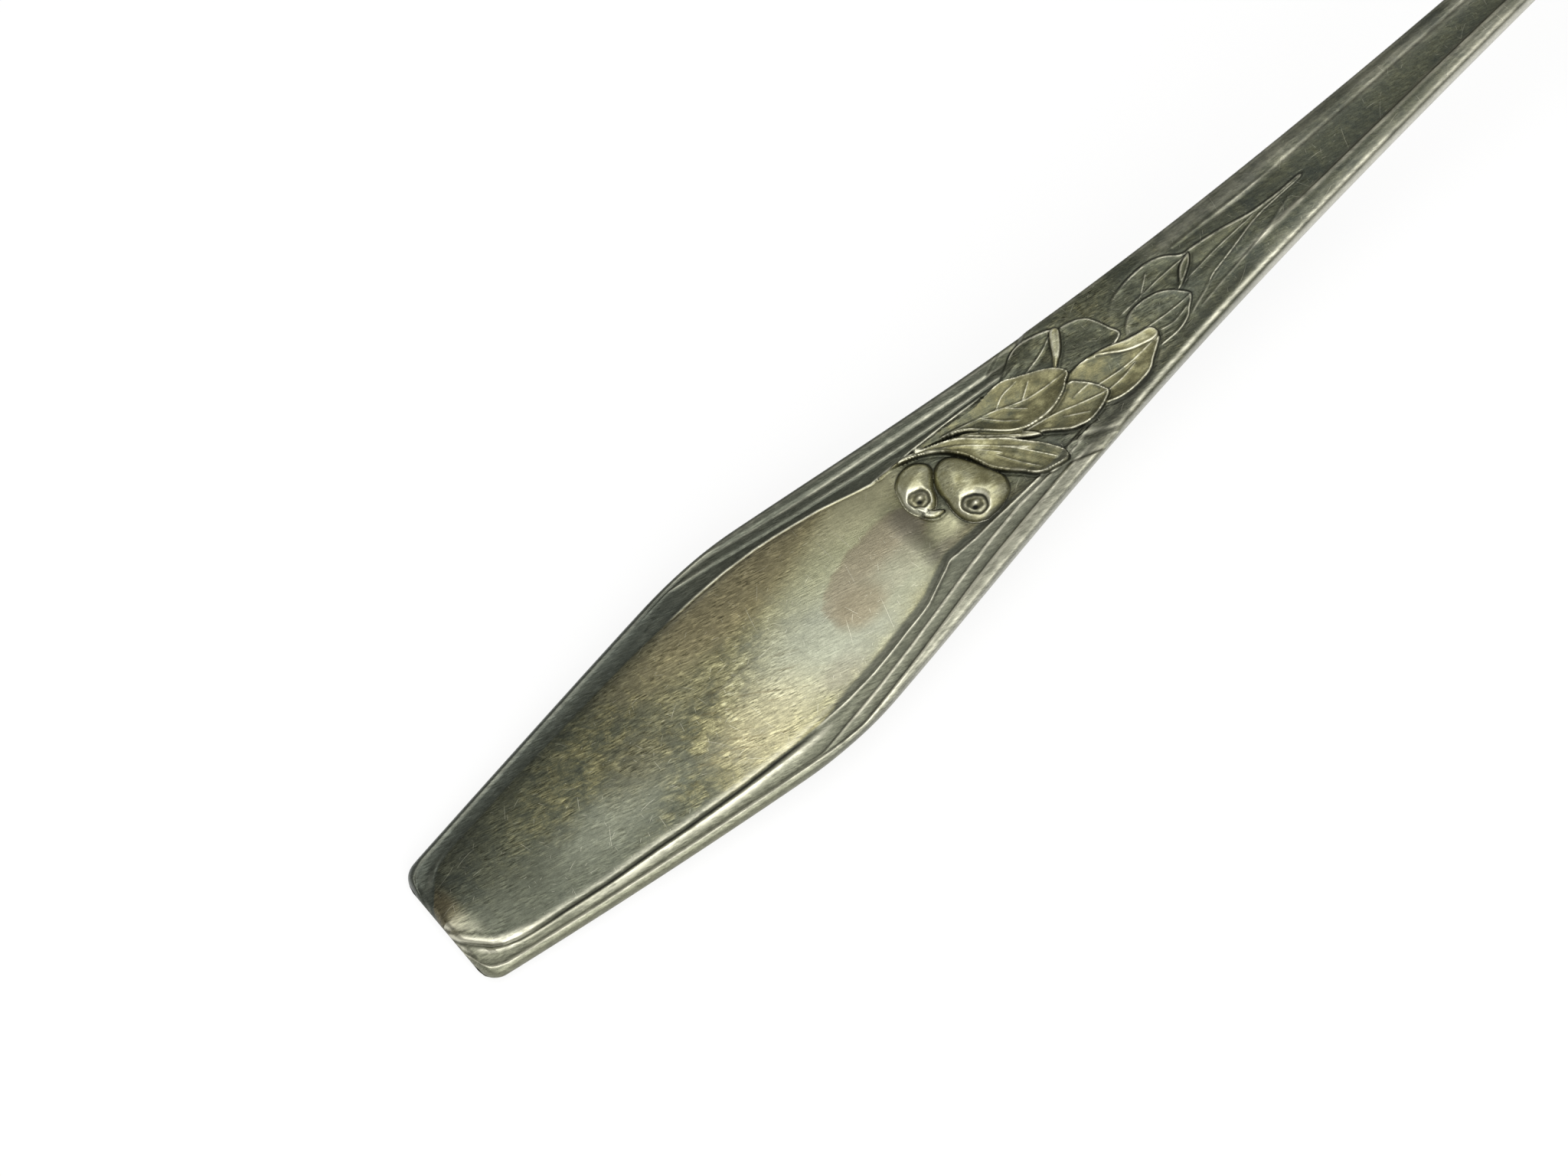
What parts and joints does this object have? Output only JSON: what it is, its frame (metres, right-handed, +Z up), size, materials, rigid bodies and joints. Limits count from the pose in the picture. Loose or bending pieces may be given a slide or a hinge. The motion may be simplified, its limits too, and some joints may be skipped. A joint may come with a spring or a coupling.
{
  "type": "serving ladle",
  "caption": "Plated serving ladle: a deep round bowl brazed to a long rising handle, struck with a cushion panel, a stepped border and a sprig of leaves and fruit.",
  "frame": {"origin": "on the table, at the centre of the bowl's flat foot", "axes": "+X from the bowl to the tip of the handle, +Z up, so that +Y is across the handle"},
  "size_m": [0.3028, 0.094, 0.038],
  "materials": {
    "tarnished_silver": "tarnished silver plate, dark in the recesses and worn bright on the edges",
    "worn_silver": "silver plate with fine scratches and light tarnish",
    "silver_braze": "dull silver braze with oxide along its edge"
  },
  "bodies": {
    "root": {"bowl": "worn_silver", "handle": "tarnished_silver", "braze_seam": "silver_braze"}
  },
  "joints": []
}
